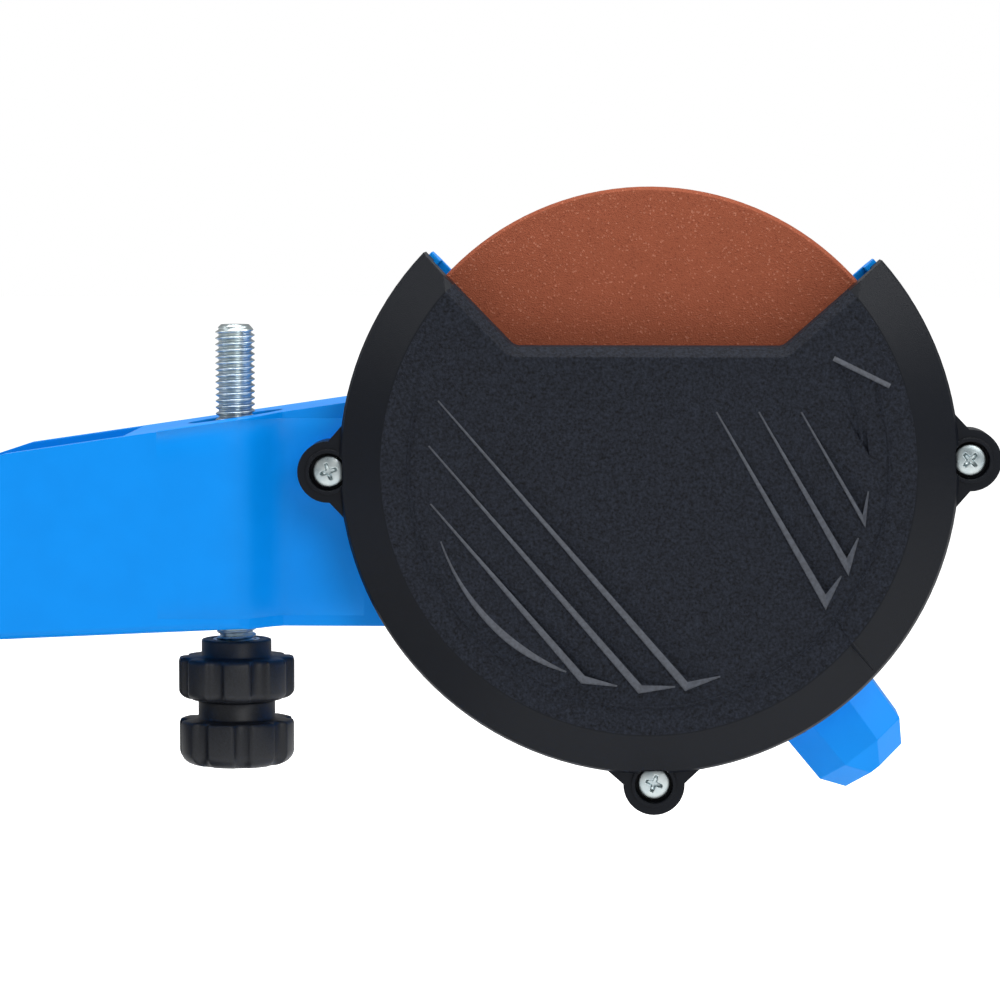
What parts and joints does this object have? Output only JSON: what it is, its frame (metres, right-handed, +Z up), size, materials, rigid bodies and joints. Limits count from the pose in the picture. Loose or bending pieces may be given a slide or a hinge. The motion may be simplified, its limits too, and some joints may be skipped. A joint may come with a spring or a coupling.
{
  "type": "electric chainsaw sharpener",
  "caption": "Bench chain sharpener: motor head with a covered abrasive wheel on a hinged arm, a depth-stop bolt, and a swivelling two-jaw chain vice on a cast base.",
  "frame": {"origin": "centre of the four bench holes, on the base's underside", "axes": "+Z up, -X towards the user, Y along the wheel's axis with the motor on the +Y side"},
  "size_m": [0.4342, 0.151, 0.204],
  "materials": {
    "blue_plastic": "moulded ABS, light satin",
    "black_plastic": "glass-filled nylon, fine spark texture",
    "abrasive": "vitrified corundum, red-brown, 100 grit",
    "zinc_steel": "bright zinc plate",
    "rail_steel": "ground steel",
    "core_steel": "stacked electrical sheet",
    "copper": "enamelled copper wire",
    "brass": "drawn brass",
    "carbon": "pressed carbon",
    "rubber": "moulded rubber",
    "cast_alloy": "die-cast aluminium, dark powder coat",
    "scale_plate": "stamped sheet"
  },
  "bodies": {
    "base": {"base_casting": "cast_alloy", "hinge_pin": "zinc_steel", "hinge_clips": "zinc_steel", "stop_pad": "zinc_steel", "rest_buffer": "rubber", "angle_scale": "scale_plate"},
    "head": {"head_housing": "blue_plastic", "wheel_cover": "black_plastic", "cover_screws": "zinc_steel", "motor_cap": "black_plastic", "motor_cap_screws": "zinc_steel", "cord_gland": "rubber", "handle_cover": "blue_plastic", "handle_screws": "zinc_steel", "switch_body": "black_plastic", "hinge_bushes": "brass", "thread_insert": "zinc_steel", "stator": "core_steel", "field_coils": "copper", "brush_plate": "black_plastic", "brush_holders": "brass", "carbon_brushes": "carbon", "front_bearing": "zinc_steel", "rear_bearing": "zinc_steel"},
    "rotor": {"grinding_wheel": "abrasive", "inner_flange": "zinc_steel", "outer_flange": "zinc_steel", "wheel_nut": "zinc_steel", "rotor_shaft": "zinc_steel", "cooling_fan": "black_plastic", "armature_stack": "core_steel", "armature_coils": "copper", "commutator": "copper"},
    "depth_bolt": {"depth_bolt": "zinc_steel"},
    "depth_knob": {"depth_knob": "black_plastic"},
    "lock_nut_core": {"lock_nut_core": "zinc_steel"},
    "lock_nut": {"lock_nut": "black_plastic"},
    "trigger": {"trigger": "black_plastic"},
    "vice": {"vice_table": "zinc_steel", "swivel_bolt": "zinc_steel", "swivel_washer": "zinc_steel", "fixed_rail": "rail_steel", "rail_screws": "zinc_steel", "guide_pins": "zinc_steel", "clamp_stud": "zinc_steel", "lever_pin": "zinc_steel", "stop_bracket": "zinc_steel"},
    "swivel_lock_knob": {"swivel_lock_knob": "black_plastic"},
    "moving_jaw": {"moving_rail": "rail_steel"},
    "clamp_lever": {"clamp_lever": "black_plastic"},
    "stop_screw": {"stop_screw": "zinc_steel"},
    "stop_pawl": {"stop_pawl": "rail_steel"},
    "stop_knob": {"stop_knob": "black_plastic"}
  },
  "joints": [
    {"name": "head_swing", "type": "hinge", "parent": "base", "child": "head", "pos_m": [0.02, 0, 0.13], "axis": [0, -1, 0], "range_deg": [0, 180]},
    {"name": "wheel_spin", "type": "hinge", "parent": "head", "child": "rotor", "pos_m": [0.18, -0.015, 0.15], "axis": [0, 1, 0], "continuous": true},
    {"name": "depth_feed", "type": "slide", "parent": "head", "child": "depth_bolt", "axis": [0, 0, -1], "range_m": [-0.0032, 0.012]},
    {"name": "depth_knob_turn", "type": "hinge", "parent": "depth_bolt", "child": "depth_knob", "pos_m": [0.0975, 0, 0.095], "axis": [0, 0, 1], "range_deg": [-925, 3460]},
    {"name": "lock_nut_travel", "type": "slide", "parent": "depth_bolt", "child": "lock_nut_core", "axis": [0, 0, 1], "range_m": [0, 0.0033]},
    {"name": "lock_nut_turn", "type": "hinge", "parent": "lock_nut_core", "child": "lock_nut", "pos_m": [0.0975, 0, 0.106], "axis": [0, 0, 1], "range_deg": [0, 955]},
    {"name": "trigger_press", "type": "slide", "parent": "head", "child": "trigger", "axis": [-0.788, 0, -0.6157], "range_m": [0, 0.003], "stiffness_N_per_m": 900, "springref_m": -0.003},
    {"name": "vice_swivel", "type": "hinge", "parent": "base", "child": "vice", "pos_m": [-0.14, -0.015, 0.0223], "axis": [0, 0, 1], "range_deg": [-35, 35]},
    {"name": "swivel_lock_turn", "type": "hinge", "parent": "vice", "child": "swivel_lock_knob", "pos_m": [-0.14, -0.015, 0.008], "axis": [0, 0, 1], "range_deg": [0, 270]},
    {"name": "jaw_slide", "type": "slide", "parent": "vice", "child": "moving_jaw", "axis": [-1, 0, 0], "range_m": [0, 0.001]},
    {"name": "clamp_lever_turn", "type": "hinge", "parent": "vice", "child": "clamp_lever", "pos_m": [-0.155, -0.015, 0.037], "axis": [0, 0, -1], "range_deg": [0, 80]},
    {"name": "stop_feed", "type": "slide", "parent": "vice", "child": "stop_screw", "axis": [0, 1, 0], "range_m": [-0.003, 0.003]},
    {"name": "stop_knob_turn", "type": "hinge", "parent": "stop_screw", "child": "stop_knob", "pos_m": [-0.1265, 0.0285, 0.054], "axis": [0, 1, 0], "range_deg": [-1355, 1355]},
    {"name": "pawl_flip", "type": "hinge", "parent": "stop_screw", "child": "stop_pawl", "pos_m": [-0.1265, -0.007, 0.054], "axis": [0, 1, 0], "range_deg": [0, 100]}
  ],
  "couplings": [
    {"joint": "depth_knob_turn", "follows": "depth_feed", "rad_per_m": 5026.5},
    {"joint": "lock_nut_turn", "follows": "lock_nut_travel", "rad_per_m": 5026.5},
    {"joint": "clamp_lever_turn", "follows": "jaw_slide", "rad_per_m": 1396.3},
    {"joint": "stop_knob_turn", "follows": "stop_feed", "rad_per_m": 7854}
  ]
}
